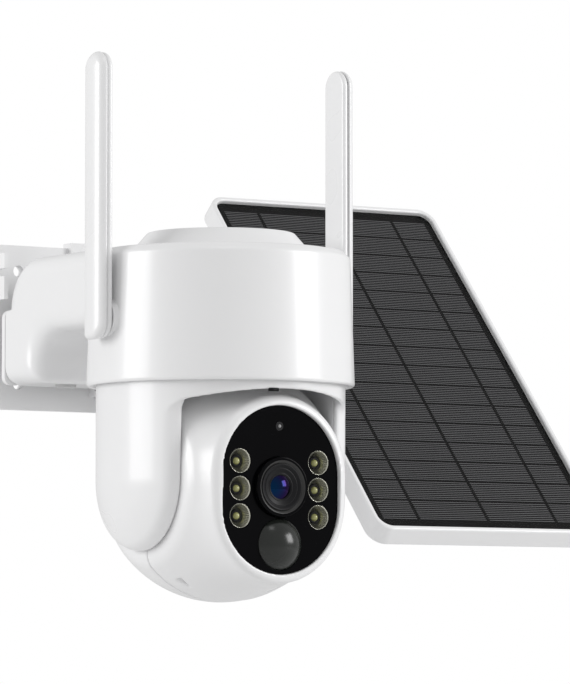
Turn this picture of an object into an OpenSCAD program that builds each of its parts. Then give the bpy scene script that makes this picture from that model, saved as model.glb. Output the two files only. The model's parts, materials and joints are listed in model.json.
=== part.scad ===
// Solar-powered security camera on a wall bracket.
// Origin: centre of the wall plate's back face. +Z is up, -Y is the camera's front, +Y is the wall.
// Most of it is drawn from the centre of the drum's lower rim, which head_frame() puts in place.

/* [Drum] */
// Diameter of the drum at its lower rim
head_d = 100; // [98:0.5:101]
// Height of the drum's wall, up to its chamfer
head_h = 48; // [47.5:0.5:49]
// How much smaller the drum's radius is at the top
head_draft = 1.6; // [1:0.1:1.8]
// Height of the raised cap on top
cap_h = 7; // [5:0.5:9]
// Thickness of the moulded shells
wall = 2.4; // [2:0.1:2.5]

/* [Wall plate and arm] */
// Wall to the drum's axis
reach = 112; // [112:1:116]
// Width of the wall plate
plate_w = 74; // [74:1:76]
// Height of the wall plate
plate_h = 64; // [62:1:66]
// Thickness of the wall plate
plate_t = 4; // [3:0.5:4.5]
// Wall screws, centre to centre across
screw_x = 50; // [46:1:54]
// Wall screws, centre to centre up
screw_z = 44; // [40:1:46]
// Diameter of the wall screw holes
screw_d = 4.5; // [4:0.1:5.5]
// Width of the arm and its base block
arm_w = 70; // [68:1:70]
// Top of the arm above the drum's lower rim
arm_top = 53.5; // [52:0.5:55]
// Underside of the arm above the drum's lower rim
arm_low = 24; // [24:0.5:27]

/* [Yoke and ball] */
// Diameter of the yoke
yoke_d = 93; // [92:0.5:93.5]
// Width of each yoke arm, front to back
fork_w = 55; // [54:1:57]
// Radius of a yoke arm's lower end
fork_end_r = 26.5; // [26:0.5:27]
// Depth of the tilt axis below the drum's lower rim
tilt_drop = 35; // [35:0.5:36]
// Diameter of the ball
ball_d = 90; // [89:0.5:90.5]

/* [Camera face] */
// Width of the bezel
bezel_w = 57; // [55:0.5:58]
// Height of the bezel
bezel_h = 68.5; // [68:0.5:69.5]
// Width of the front glass
glass_w = 50.6; // [50:0.2:51]
// Height of the front glass
glass_h = 61.6; // [61:0.2:62]
// How far the camera's face sits below the ball's centre
face_drop = 4.5; // [3:0.5:5]
// Outer diameter of the lens ring
lens_d = 22.2; // [21:0.2:23]
// Diameter of the motion sensor's dome
pir_d = 18.7; // [18:0.1:19]
// Outer diameter of a lamp's reflector
led_d = 9; // [8:0.1:9.4]
// Sideways distance of the lamps from the lens
led_x = 17; // [16.6:0.1:17.2]
// Lamp to lamp, upwards
led_pitch = 10; // [9.4:0.1:10.2]

/* [Antennas] */
// Overall length of an antenna
antenna_l = 106.5; // [80:0.5:110]
// Width of an antenna's blade
antenna_w = 14; // [13:0.5:14.5]
// Thickness of an antenna's blade
antenna_t = 6.2; // [6:0.1:7]
// Height of the antennas' hinge above the drum's lower rim
antenna_z = 24; // [24:0.5:28]

/* [Solar panel] */
// Width of the panel
panel_w = 108; // [104:1:108]
// Length of the panel
panel_l = 183; // [160:1:184]
// Thickness of the panel's frame
panel_t = 9; // [8:0.5:10]
// Slope of the panel at rest
panel_slope = 48; // [47:1:52]
// Sideways distance from the drum's axis to the panel's middle
panel_x = 113.5; // [113.5:0.5:118]
// Distance of the panel's middle behind the drum's axis
panel_y = 43; // [40:0.5:43.5]
// Height of the panel's middle above the drum's lower rim
panel_z = 16; // [14:0.5:18]

/* [Hidden] */
$fn = 96;

// Small sizes used in several places
slack = 0.3;         // gap between pieces that pass each other
run = 0.05;          // radial clearance of a shaft in its bore
past = 1;            // how far a cut runs past the face it opens
far = 300;           // larger than anything here, for cutting halves off

head_r = head_d / 2;
head_top_r = head_r - head_draft;
chamfer = 2.5;                       // band between the drum's wall and its top
roof_z = head_h + chamfer;           // the drum's flat top
cap_hole_r = 28;
cap_base_r = 33;
cap_top_r = 27.5;
boss_r = 6.6;                        // antenna boss on the drum
boss_x = 50.4;                       // its outer face
boss_root = 46.2;                    // its inner end, inside the drum's wall
antenna_x = boss_x + slack;          // an antenna's inner face

floor_z = 17;                        // plate inside the drum that carries the yoke
floor_t = 2.5;
floor_screw_r = 43.3;                // its screws, from the drum's axis
hub_r = 10;
hub_screw_r = 13.5;                  // screws that hold the yoke to the hub
bearing_r = 13;
gear_z = 21.2;                       // pan gear and pinion
gear_h = 3.5;
gear_m = 1;                          // tooth module of the pan gears
pan_teeth = 50;
pan_pinion_teeth = 16;
pan_motor_a = 200;                   // direction of the pan motor from the drum's axis
pan_centres = gear_m * (pan_teeth + pan_pinion_teeth) / 2;

plate_y = reach - plate_t;           // front face of the wall plate, behind the drum's axis
plate_low = -4;                      // its lower edge, from the drum's lower rim
wing_screws = [41, 50];              // screws that hold the panel's arm, from the middle
cover_screws = [-27, 27];            // screws of the base block's rear cover
cover_screw_z = 30;
lock_x = 12;                         // locking screw under the base block
block_front = 79;                    // base block, behind the drum's axis
block_back = 101;
block_low = 5;
block_round = 20;                    // radius over the elbow
cover_t = 2.2;
port_x = 14;
port_y = 90;
power_x = -14;
reset_x = -3;

yoke_r = yoke_d / 2;
yoke_top = 14;
yoke_roof = 2.5;
fork_x = 33.6;                       // inner face of a yoke arm
skirt_low = -7;
arch_r = 150;                        // arch over the ball, seen from the front
arch_top = -2.8;
liner_t = 2;
ball_r = ball_d / 2;
ball_flat = 33;                      // the ball's flat sides
ball_split = -1.5;                   // plane between the front and rear half
tilt_pin_r = 5;
tilt_m = 0.8;                        // tooth module of the tilt gears
tilt_teeth = 36;
tilt_pinion_teeth = 14;
tilt_centres = tilt_m * (tilt_teeth + tilt_pinion_teeth) / 2;
tilt_motor_a = 45;                   // direction of the tilt motor from the tilt axis
tilt_gear_x = -30.2;

face_y = -41.5;                      // bezel's front, from the ball's centre
glass_y = -40.6;                     // front glass
glass_t = 1.4;
lens_up = 1;                         // lens above the face's middle
led_up = 0.3;                        // middle lamps above the face's middle
pir_up = -19.9;
pir_out = 5;                         // how far the dome stands out
pir_ball_r = (pow(pir_d / 2, 2) + pir_out * pir_out) / (2 * pir_out);
eye_up = 23.3;                       // light sensor above the face's middle
boss_at = [for (x = [-20, 20], z = [-27, 27]) [x, z]];   // screw bosses inside the ball

panel_pivot = 24;                    // tilt hinge behind the panel's front face
pocket = 2.6;                        // depth of the frame's pocket for the laminate
frame_rim = 2.2;                     // width of the frame seen from the front
lug_r = 8;
lug_w = 10;
ear_t = 4;
bolt_r = 3;
bar_low = 1;                         // panel arm's bar, above the drum's lower rim
bar_top = 16;
bar_y = 100;

// Frames ----------------------------------------------------------------

module head_frame() {
    translate([0, -reach, -plate_low - plate_h / 2]) children();
}

module ball_frame() {
    head_frame() translate([0, 0, -tilt_drop]) children();
}

// The middle of the camera's face, in the ball's centre plane.
module face_frame() {
    ball_frame() translate([0, 0, -face_drop]) children();
}

// The panel's own frame: X across, Y up the slope, Z out of the glass, zero on its front face.
module panel_frame_at() {
    head_frame() translate([panel_x, panel_y, panel_z]) rotate([panel_slope, 0, 0]) children();
}

module antenna_frame(side) {
    head_frame() translate([side * antenna_x, 0, antenna_z]) mirror([side < 0 ? 1 : 0, 0, 0])
        children();
}

module pan_pinion_frame() {
    head_frame() rotate([0, 0, pan_motor_a]) translate([pan_centres, 0, 0]) children();
}

// The tilt motor's axis, which runs along X inside the ball.
module tilt_pinion_frame() {
    ball_frame() rotate([tilt_motor_a, 0, 0]) translate([tilt_gear_x, tilt_centres, 0])
        rotate([0, 90, 0]) children();
}

// Shapes ----------------------------------------------------------------

// A cylinder along X, from x to x + length.
module rod_x(r, length, x = 0) {
    translate([x, 0, 0]) rotate([0, 90, 0]) cylinder(r = r, h = length);
}

// A cylinder along Y, from y to y + length.
module rod_y(r, length, y = 0) {
    translate([0, y, 0]) rotate([-90, 0, 0]) cylinder(r = r, h = length);
}

// A flat outline extruded along +Y from y: the outline's X stays X and its Y becomes Z.
module along_y(length, y = 0) {
    translate([0, y + length, 0]) rotate([90, 0, 0]) linear_extrude(length) children();
}

// A flat outline extruded along +X from x: the outline's X becomes Y and its Y becomes Z.
module along_x(length, x = 0) {
    translate([x, 0, 0]) rotate([90, 0, 90]) linear_extrude(length) children();
}

module rounded_rect(w, h, r) {
    square([w - 2 * r, h], center = true);
    square([w, h - 2 * r], center = true);
    for (x = [-1, 1], y = [-1, 1])
        translate([x * (w / 2 - r), y * (h / 2 - r)]) circle(r);
}

// A rectangle with half-round ends, taller than it is wide.
module stadium(w, h) {
    square([w, h - w], center = true);
    for (y = [-1, 1]) translate([0, y * (h - w) / 2]) circle(w / 2);
}

module ring(outer, inner, h) {
    difference() {
        cylinder(r = outer, h = h);
        translate([0, 0, -past]) cylinder(r = inner, h = h + 2 * past);
    }
}

// Screw along +Z with its head's underside at zero and its shank below.
module screw(shank_r, length, head_r, head_h) {
    difference() {
        union() {
            translate([0, 0, -length]) cylinder(r = shank_r, h = length + head_h / 2);
            cylinder(r = head_r, h = head_h);
        }
        for (a = [0, 90]) rotate([0, 0, a])
            translate([-head_r * 0.6, -0.3, head_h * 0.45]) cube([head_r * 1.2, 0.6, head_h]);
    }
}

// Spur gear outline. Each tooth is narrower than its gap, so a pair turns with backlash.
tooth = [[-0.31, -1.15], [-0.13, 0.8], [0.13, 0.8], [0.31, -1.15]];
function gear_points(teeth, module_size) = [for (i = [0 : teeth - 1], p = tooth)
    let (a = (i + p[0]) * 360 / teeth, r = module_size * (teeth / 2 + p[1])) [r * cos(a), r * sin(a)]];

module gear(teeth, module_size, h, bore_r) {
    difference() {
        linear_extrude(h) polygon(gear_points(teeth, module_size));
        translate([0, 0, -past]) cylinder(r = bore_r, h = h + 2 * past);
    }
}

// Drum ------------------------------------------------------------------

// What the drum takes out of the arm: its own body, and a slope above its shoulder.
module drum_solid() {
    cylinder(r1 = head_r, r2 = head_top_r, h = head_h);
    translate([0, 0, head_h]) cylinder(r1 = head_top_r, r2 = head_top_r + 5, h = 7);
}

module head_shell() color("white") head_frame() {
    rim = 0.8;
    difference() {
        union() {
            rotate_extrude() polygon([[head_r - wall, 0], [head_r - rim, 0], [head_r, rim],
                [head_top_r, head_h], [head_top_r - chamfer, roof_z], [cap_hole_r, roof_z],
                [cap_hole_r, head_h], [head_top_r - wall, head_h]]);
            for (side = [-1, 1]) translate([0, 0, antenna_z])
                rod_x(boss_r, boss_x - boss_root, side > 0 ? boss_root : -boss_x);
            // posts for the floor's screws
            for (a = [45 : 90 : 315]) rotate([0, 0, a]) translate([floor_screw_r, 0, floor_z + floor_t])
                ring(3.2, 1.2, head_h - floor_z - floor_t + 1);
        }
        for (side = [-1, 1]) translate([0, 0, antenna_z])
            rod_x(bolt_r + run, 12, side > 0 ? boss_root - 4 : -boss_root - 8);
        // duct for the wires from the arm
        translate([-22, head_r - 9, 31]) cube([44, 12, 13]);
    }
}

module top_cap() color("white") head_frame() {
    lip = 0.3;
    rotate_extrude() polygon([[25.3, head_h + lip], [cap_hole_r - lip, head_h + lip],
        [cap_hole_r - lip, roof_z], [cap_base_r, roof_z], [cap_base_r, roof_z + 0.6],
        [cap_top_r + 1.2, roof_z + cap_h - 1.6], [cap_top_r + 0.5, roof_z + cap_h - 0.7],
        [cap_top_r - 0.8, roof_z + cap_h], [0, roof_z + cap_h], [0, roof_z + cap_h - wall],
        [25.3, roof_z + cap_h - wall]]);
}

module head_floor() color("white") head_frame() {
    difference() {
        translate([0, 0, floor_z]) ring(46.8, bearing_r, floor_t);
        for (a = [45 : 90 : 315]) rotate([0, 0, a]) translate([floor_screw_r, 0, floor_z - past])
            cylinder(r = 1.6, h = floor_t + 2 * past);
        // clear of the antennas' bosses
        for (side = [-1, 1]) translate([0, 0, antenna_z])
            rod_x(boss_r + 0.3, 12, side > 0 ? boss_root - 1 : -boss_root - 11);
    }
}

module battery_cells() color("royalblue") head_frame() {
    cell_r = 9;
    cell_l = 64;
    for (x = [-9.3, 9.3]) translate([x, 0, 38.7]) {
        rod_y(cell_r, cell_l, -cell_l / 2);
        rod_y(2.8, 1, cell_l / 2);
    }
}

module main_board() color("darkgreen") head_frame() {
    difference() {
        union() {
            translate([-19, -26, 27.6]) cube([54, 52, 1.4]);
            translate([22, -10, 29]) cube([10, 10, 1.2]);
            translate([22, 6, 29]) cube([8, 8, 1.2]);
        }
        translate([0, 0, 27]) cylinder(r = 6, h = 3);
    }
}

module pan_motor() color("silver") pan_pinion_frame() {
    body_z = gear_z + gear_h + 0.5;
    translate([0, 0, body_z]) cylinder(r = 8, h = 15);
    translate([0, 0, body_z]) cylinder(r = 12.8, h = 1.2);
    translate([0, 0, gear_z - 1]) cylinder(r = 1.45, h = body_z - gear_z + 1.2);
    for (y = [-11, 11]) translate([0, y, floor_z + floor_t])
        cylinder(r = 1.6, h = body_z - floor_z - floor_t + 0.2);
}

module pan_pinion() color("gold") pan_pinion_frame() {
    // half a tooth on, so that a gap faces the gear
    translate([0, 0, gear_z]) rotate([0, 0, 180 + 180 / pan_pinion_teeth])
        gear(pan_pinion_teeth, gear_m, gear_h, 1.5);
}

module pan_bearing() color("tan") head_frame() {
    translate([0, 0, 16]) ring(11.4, hub_r + run, 1);
    translate([0, 0, floor_z]) ring(bearing_r, hub_r + run, 4);
}

module head_screws() color("gray") head_frame() {
    for (a = [45 : 90 : 315]) rotate([0, 0, a]) translate([floor_screw_r, 0, floor_z]) rotate([180, 0, 0])
        screw(1.2, 10, 2.4, 1.2);
}

// Arm, base block and wall plate ----------------------------------------

// Side outline of the arm and block, drawn as Y and Z, shrunk by inset all round.
module elbow_outline(inset) {
    inner_r = 8;
    difference() {
        union() {
            // block
            translate([block_front + inset, block_low + inset])
                square([block_back - block_front - 2 * inset, 30]);
            // arm
            translate([30, arm_low + inset])
                square([block_back - block_round - 30, arm_top - arm_low - 2 * inset]);
            translate([block_back - block_round, arm_top - block_round])
                circle(block_round - inset);
            // inner corner
            translate([block_front - inner_r + inset, arm_low - inner_r + inset])
                square([inner_r + past, inner_r + past]);
        }
        translate([block_front - inner_r, arm_low - inner_r]) circle(inner_r + inset);
    }
}

module elbow(inset, half_w) {
    along_x(2 * half_w, -half_w) elbow_outline(inset);
}

module base_housing() color("white") head_frame() {
    side_r = 5;
    difference() {
        intersection() {
            elbow(0, arm_w / 2);
            // rounded upper edges, seen from behind
            along_y(90, 20) translate([0, 28]) rounded_rect(arm_w, 2 * (arm_top - 28), side_r);
        }
        difference() {
            elbow(wall, arm_w / 2 - wall);
            // bosses for the rear cover's screws
            for (x = cover_screws) translate([x, 0, cover_screw_z]) rod_y(3.8, 12, block_back - 9);
        }
        for (x = cover_screws) translate([x, 0, cover_screw_z]) rod_y(1.2, 8, block_back - 7);
        drum_solid();
        // the block is open behind, under its rounded shoulder
        translate([-arm_w / 2 + wall, block_back - wall - past, block_low + wall])
            cube([arm_w - 2 * wall, wall + 2 * past, 17]);
        // socket and buttons in the underside
        translate([port_x - 4.8, port_y - 2, block_low - past]) cube([9.6, 4, wall + 2 * past]);
        translate([power_x, port_y, block_low - past]) cylinder(r = 4.2, h = wall + 2 * past);
        translate([reset_x, port_y, block_low - past]) cylinder(r = 1.8, h = wall + 2 * past);
    }
}

module base_back() color("white") head_frame() {
    difference() {
        along_y(cover_t, block_back) translate([0, block_low + 14.5])
            rounded_rect(arm_w, 29, 3);
        for (x = cover_screws) translate([x, 0, cover_screw_z]) rod_y(1.6, 10, block_back - 2);
        // drain notches in the lower edge
        for (x = [-28, -7, 7, 28]) translate([x - 1.2, block_back - past, block_low - past])
            cube([2.4, cover_t + 2 * past, 1.5 + past]);
    }
}

module charge_socket() color("silver") head_frame() {
    translate([port_x, port_y, block_low + 0.4]) difference() {
        translate([-4.5, -1.6, 0]) cube([9, 3.2, 8]);
        translate([-4, -1.1, -past]) cube([8, 2.2, 7]);
    }
    translate([port_x - 9, port_y - 6, block_low + 8.4]) cube([18, 12, 1.2]);
}

module base_screws() color("gray") head_frame() {
    for (x = cover_screws) translate([x, block_back + cover_t, cover_screw_z])
        rotate([-90, 0, 0]) screw(1.2, cover_t + 6, 2.4, 1.2);
    // locking screw that holds the base on its wall plate
    translate([lock_x, plate_y - 2.3, 2]) rotate([180, 0, 0]) screw(1.4, 9, 2.2, 1.4);
    // screws that hold the panel's arm to the wing
    for (x = wing_screws) translate([x, bar_y, (bar_low + bar_top) / 2])
        rotate([90, 0, 0]) screw(1.9, plate_y - bar_y + 3, 3.4, 1.8);
}

module wall_plate() color("white") head_frame() {
    wing_x = 56;
    difference() {
        union() {
            translate([0, 0, plate_low + plate_h / 2]) along_y(plate_t, plate_y)
                rounded_rect(plate_w, plate_h, 4);
            // wing for the panel's arm
            translate([20, plate_y, 0]) cube([wing_x - 20, plate_t, bar_top + 1]);
            // small tab on the top edge
            translate([-2.5, plate_y - 2, plate_low + plate_h - 3]) cube([10.5, plate_t + 2, 5]);
            // hook block that the base hangs on
            translate([-12, block_back + cover_t, 14]) cube([24, plate_y - block_back, 14]);
            translate([lock_x - 5, block_back + cover_t, 2]) cube([10, plate_y - block_back, 14]);
            // side cheeks beside the block's shoulder
            for (x = [-plate_w / 2, plate_w / 2 - 1.6])
                translate([x, block_back - 3, 38]) cube([1.6, plate_y - block_back + 4, 18]);
        }
        for (x = [-1, 1], z = [-1, 1])
            translate([x * screw_x / 2, 0, plate_low + plate_h / 2 + z * screw_z / 2])
                rod_y(screw_d / 2, plate_t + 2 * past, plate_y - past);
        // notch in each cheek
        translate([-far / 2, block_back - 4, 47]) cube([far, 5, 3]);
        // hole for the locking screw
        translate([lock_x, plate_y - 2.3, 0]) cylinder(r = 1.5, h = 11.5);
        for (x = wing_screws) translate([x, 0, (bar_low + bar_top) / 2])
            rod_y(2, plate_t + 2 * past, plate_y - past);
    }
}

module port_cover() color("gray") head_frame() {
    translate([port_x - 11, port_y - 6, block_low - 1.5]) cube([22, 12, 1.2]);
    translate([port_x - 11, port_y + 6.2, block_low - 0.9]) rod_x(0.6, 22);
}

module power_button() color("lightgray") head_frame() {
    translate([power_x, port_y, block_low - 1]) cylinder(r = 4, h = 5);
    translate([power_x, port_y, block_low + wall + 0.2]) cylinder(r = 5.2, h = 1.2);
}

module reset_button() color("gray") head_frame() {
    translate([reset_x, port_y, block_low + 0.4]) cylinder(r = 1.6, h = 4);
    translate([reset_x, port_y, block_low + wall + 0.2]) cylinder(r = 2.6, h = 1.2);
}

// Bar along the wall, then a leg forward to the hinge behind the panel.
module panel_arm() color("white") head_frame() {
    pivot_y = panel_y + panel_pivot * sin(panel_slope);
    pivot_z = panel_z - panel_pivot * cos(panel_slope);
    bar_x = arm_w / 2 + 2;
    web = 0.9;
    difference() {
        union() {
            translate([bar_x, bar_y, bar_low])
                cube([panel_x + lug_w / 2 - bar_x, plate_y - bar_y, bar_top - bar_low]);
            along_x(lug_w, panel_x - lug_w / 2) {
                polygon([[pivot_y, pivot_z - lug_r * web], [plate_y, bar_low], [plate_y, bar_top],
                    [bar_y - 2, bar_top], [pivot_y, pivot_z + lug_r * web]]);
                translate([pivot_y, pivot_z]) circle(lug_r);
            }
        }
        translate([0, pivot_y, pivot_z]) rod_x(bolt_r + run, far, 0);
        for (x = wing_screws) translate([x, 0, (bar_low + bar_top) / 2])
            rod_y(2, plate_y - bar_y + 2 * past, bar_y - past);
    }
}

// Yoke ------------------------------------------------------------------

// Side outline of a yoke arm, drawn as Y and Z about the drum's axis.
module fork_outline(inset) {
    half = fork_w / 2;
    top = yoke_top - yoke_roof;
    intersection() {
        union() {
            translate([0, -tilt_drop]) circle(fork_end_r - inset);
            polygon([[-fork_end_r + inset, -tilt_drop], [-half + inset, skirt_low],
                [-half + inset, top], [half - inset, top], [half - inset, skirt_low],
                [fork_end_r - inset, -tilt_drop]]);
        }
        translate([-half, -far]) square([2 * half, far + top]);
    }
}

// A cylinder down to the tilt axis, and half a sphere of the same radius below it.
module fork_round(r, top = yoke_top) {
    translate([0, 0, -tilt_drop]) {
        cylinder(r = r, h = top + tilt_drop);
        intersection() {
            sphere(r = r);
            translate([-far / 2, -far / 2, -far]) cube([far, far, far]);
        }
    }
}

module yoke() color("white") head_frame() {
    difference() {
        union() {
            // roof and skirt
            difference() {
                translate([0, 0, skirt_low]) cylinder(r = yoke_r, h = yoke_top - skirt_low);
                translate([0, 0, skirt_low - past])
                    cylinder(r = yoke_r - 1.6, h = yoke_top - yoke_roof - skirt_low + past);
                // arch over the ball, front and back
                intersection() {
                    translate([0, 0, arch_top - arch_r]) rod_y(arch_r, far, -far / 2);
                    translate([-fork_x, -far / 2, -far]) cube([2 * fork_x, far, 2 * far]);
                }
            }
            // arms, which follow the ball below the tilt axis
            intersection() {
                fork_round(yoke_r);
                for (x = [-far - fork_x, fork_x]) along_x(far, x) fork_outline(0);
            }
        }
        // each arm is hollow, open towards the ball
        intersection() {
            fork_round(yoke_r - 2.2, yoke_top - yoke_roof - 2);
            for (x = [-far - fork_x, fork_x]) along_x(far, x) fork_outline(2);
        }
        translate([0, 0, yoke_top - 2 * yoke_roof]) cylinder(r = hub_r, h = far);
        for (a = [30, 150, 270]) rotate([0, 0, a]) translate([hub_screw_r, 0, yoke_top - yoke_roof - past])
            cylinder(r = 1.2, h = yoke_roof + 2 * past);
    }
}

module yoke_liners() color("gainsboro") head_frame() {
    difference() {
        intersection() {
            translate([0, 0, -far / 2]) cylinder(r = yoke_r - 2.3, h = far / 2 + 9);
            for (x = [-fork_x - liner_t, fork_x]) along_x(liner_t, x) fork_outline(2.1);
        }
        translate([0, 0, -tilt_drop]) rod_x(tilt_pin_r, 2 * far, -far);
    }
}

module pan_hub() color("silver") head_frame() {
    difference() {
        union() {
            translate([0, 0, yoke_top - yoke_roof]) cylinder(r = hub_r, h = 15);
            translate([0, 0, yoke_top]) cylinder(r = 16, h = 1.5);
            // collar over the gear
            translate([0, 0, gear_z + gear_h]) cylinder(r = 12, h = 1.2);
        }
        cylinder(r = 6, h = 40);
        for (a = [30, 150, 270]) rotate([0, 0, a]) translate([hub_screw_r, 0, yoke_top - past])
            cylinder(r = 1.4, h = 4);
    }
}

module pan_gear() color("gold") head_frame() {
    // one tooth points at the pinion
    translate([0, 0, gear_z]) rotate([0, 0, pan_motor_a]) gear(pan_teeth, gear_m, gear_h, hub_r);
}

module tilt_pins() color("silver") head_frame() translate([0, 0, -tilt_drop]) difference() {
    union() {
        rod_x(tilt_pin_r, 11.5, -38);
        rod_x(tilt_pin_r, 8, 30);
        for (x = [-fork_x - liner_t - 1.5, fork_x + liner_t]) rod_x(7, 1.5, x);
    }
    rod_x(3, 2 * far, -far);
}

// Fixed to the left pin, so the ball's motor climbs round it.
module tilt_gear() color("gold") ball_frame() {
    rotate([tilt_motor_a, 0, 0]) translate([tilt_gear_x, 0, 0]) rotate([0, 90, 0])
        rotate([0, 0, 90]) gear(tilt_teeth, tilt_m, gear_h, tilt_pin_r);
}

module yoke_screws() color("gray") head_frame() {
    for (a = [30, 150, 270]) rotate([0, 0, a]) translate([hub_screw_r, 0, yoke_top + 1.5])
        screw(1.2, 3.8, 1.8, 1.1);
}

// Ball ------------------------------------------------------------------

module ball_solid(r, flat) {
    intersection() {
        sphere(r = r);
        cube([2 * flat, far, far], center = true);
    }
}

module half_space(front) {
    translate([-far / 2, front ? -far + ball_split : ball_split, -far / 2]) cube([far, far, far]);
}

module pin_holes() {
    rod_x(tilt_pin_r + run, 2 * far, -far);
}

module ball_front() color("white") ball_frame() {
    lip = 2.5;
    difference() {
        union() {
            difference() {
                union() {
                    ball_solid(ball_r, ball_flat);
                    // neck that carries the face
                    translate([0, 0, -face_drop]) along_y(19, -38) stadium(bezel_w, bezel_h);
                }
                ball_solid(ball_r - wall, ball_flat - wall);
                translate([0, 0, -face_drop])
                    along_y(22, -40) stadium(bezel_w - 2 * lip, bezel_h - 2 * lip);
            }
            for (p = boss_at) intersection() {
                translate([p[0], 0, p[1]]) rod_y(3.4, 60, -40);
                sphere(r = ball_r - 1);
            }
        }
        half_space(false);
        pin_holes();
        for (p = boss_at) translate([p[0], 0, p[1]]) rod_y(1.2, 14, -8);
        translate([0, 0, -face_drop])
            along_y(22, -60) stadium(bezel_w - 2 * lip, bezel_h - 2 * lip);
        // drain notch beside the chin
        translate([-21.6, -9.5, -38.2]) cube([5, 2.4, 4.5], center = true);
    }
}

module ball_rear() color("white") ball_frame() {
    difference() {
        union() {
            difference() {
                ball_solid(ball_r, ball_flat);
                ball_solid(ball_r - wall, ball_flat - wall);
            }
            for (p = boss_at) intersection() {
                translate([p[0], 0, p[1]]) rod_y(3.4, 60, ball_split);
                sphere(r = ball_r - 1);
            }
        }
        half_space(true);
        pin_holes();
        for (p = boss_at) translate([p[0], 0, p[1]]) {
            rod_y(1.4, 60, ball_split - past);
            rod_y(2.6, 60, 20);
        }
        // speaker grille
        for (a = [0 : 60 : 300], r = [0, 4]) translate([r * cos(a), 0, r * sin(a) - 14])
            rod_y(0.9, 20, 34);
    }
}

module ball_screws() color("gray") ball_frame() {
    for (p = boss_at) translate([p[0], 20, p[1]]) rotate([-90, 0, 0]) screw(1.2, 26, 2.3, 1.6);
}

module bezel() color("white") face_frame() {
    lip = 1;
    difference() {
        union() {
            along_y(2.5, face_y + lip) stadium(bezel_w, bezel_h);
            along_y(2, face_y) stadium(bezel_w - 2 * lip, bezel_h - 2 * lip);
        }
        along_y(10, face_y - past) stadium(glass_w + 0.4, glass_h + 0.4);
    }
}

module front_glass() color("black") face_frame() {
    difference() {
        along_y(glass_t, glass_y) stadium(glass_w, glass_h);
        translate([0, 0, lens_up]) rod_y(lens_d / 2 + 0.1, 9, glass_y - 4);
        translate([0, 0, pir_up]) rod_y(pir_d / 2 + 0.1, 9, glass_y - 4);
        translate([0, 0, eye_up]) rod_y(1.7, 9, glass_y - 4);
        led_places() rod_y(led_d / 2 + 0.1, 9, glass_y - 4);
    }
}

module led_places() {
    for (x = [-led_x, led_x], z = [-led_pitch : led_pitch : led_pitch])
        translate([x, 0, led_up + z]) children();
}

module led_board() color("darkgreen") face_frame() {
    difference() {
        along_y(1.4, -34) stadium(46, 58);
        translate([0, 0, lens_up]) rod_y(9, 9, -38);
    }
}

// Cups, each with a cone inside and a hole for its lamp.
module led_reflectors() color("darkkhaki") face_frame() {
    led_places() difference() {
        rod_y(led_d / 2, 6.2, -40.3);
        translate([0, -40.35, 0]) rotate([-90, 0, 0])
            cylinder(r1 = led_d / 2 - 0.4, r2 = 1.9, h = 5);
        rod_y(1.9, 9, -38);
    }
}

module led_emitters() color("khaki") face_frame() {
    led_places() rod_y(1.7, 1.6, -35.6);
}

module lens_barrel() color("black") face_frame() translate([0, 0, lens_up]) difference() {
    union() {
        rod_y(8.5, 22, -38);
        rod_y(10.5, 3, -19);
    }
    rod_y(6.6, 24, -38 - past);
}

module lens_ring() color("black") face_frame() translate([0, 0, lens_up]) {
    r = lens_d / 2;
    rotate([-90, 0, 0]) rotate_extrude() polygon([[r, -38], [r, -42.2], [r - 0.6, -42.8],
        [r - 1.8, -42.8], [r - 2.6, -41.8], [8, -40.8], [7.6, -40.4], [7.6, -38]]);
}

module lens_glass() color("midnightblue") face_frame() translate([0, 0, lens_up])
    intersection() {
        rod_y(7.4, 3, -41.2);
        translate([0, -41.1 + 16, 0]) sphere(r = 16);
    }

module sensor_board() color("darkgreen") face_frame() translate([0, 0, lens_up]) {
    translate([-14, -16, -14]) cube([28, 1.4, 28]);
    translate([-4, -17.2, -4]) cube([8, 1.2, 8]);
}

module pir_lens() color("dimgray") face_frame() translate([0, 0, pir_up]) difference() {
    intersection() {
        translate([0, glass_y - pir_out + pir_ball_r, 0]) sphere(r = pir_ball_r);
        rod_y(pir_d / 2, pir_out + 1.2, glass_y - pir_out);
    }
    intersection() {
        translate([0, glass_y - pir_out + pir_ball_r, 0]) sphere(r = pir_ball_r - 1);
        rod_y(pir_d / 2 - 1.2, pir_out + 3, glass_y - pir_out);
    }
}

module pir_sensor() color("silver") face_frame() translate([0, 0, pir_up]) {
    rod_y(4.6, 4, -38);
}

module light_sensor() color("dimgray") face_frame() translate([0, 0, eye_up])
    rod_y(1.6, 6.5, -40.5);

module speaker() color("dimgray") ball_frame() translate([0, 0, -14]) difference() {
    union() {
        rod_y(13, 2, 29);
        rod_y(8, 4, 25.5);
    }
    translate([0, 31.2, 0]) rotate([90, 0, 0]) cylinder(r1 = 11, r2 = 5, h = 1.4);
}

module tilt_motor() color("silver") tilt_pinion_frame() {
    gap = gear_h + 0.6;
    translate([0, 0, gap]) cylinder(r = 8, h = 16);
    cylinder(r = 1.2, h = gap + 0.2);
}

module tilt_pinion() color("gold") tilt_pinion_frame() {
    // a gap faces the gear
    rotate([0, 0, -90 + 180 / tilt_pinion_teeth]) gear(tilt_pinion_teeth, tilt_m, gear_h, 1.25);
}

// Antennas --------------------------------------------------------------

blade_low = -8;                      // the blade's lower end, from its hinge

// Blade seen from the side, drawn as Y and Z about the hinge.
module blade_outline(inset) {
    half = antenna_w / 2 - inset;
    low = blade_low + inset;
    tip = antenna_l + blade_low - antenna_w / 2;
    front_r = 6.5 - inset;
    back_r = 2;
    translate([-half, low + front_r]) square([2 * half, tip - low - front_r]);
    translate([0, tip]) circle(half);
    translate([-half + front_r, low]) square([2 * half - front_r - back_r, front_r + past]);
    translate([-half + front_r, low + front_r]) circle(front_r);
    translate([half - back_r, low + back_r]) circle(back_r);
    translate([half - 2 * back_r, low + back_r]) square([2 * back_r, front_r]);
}

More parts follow.
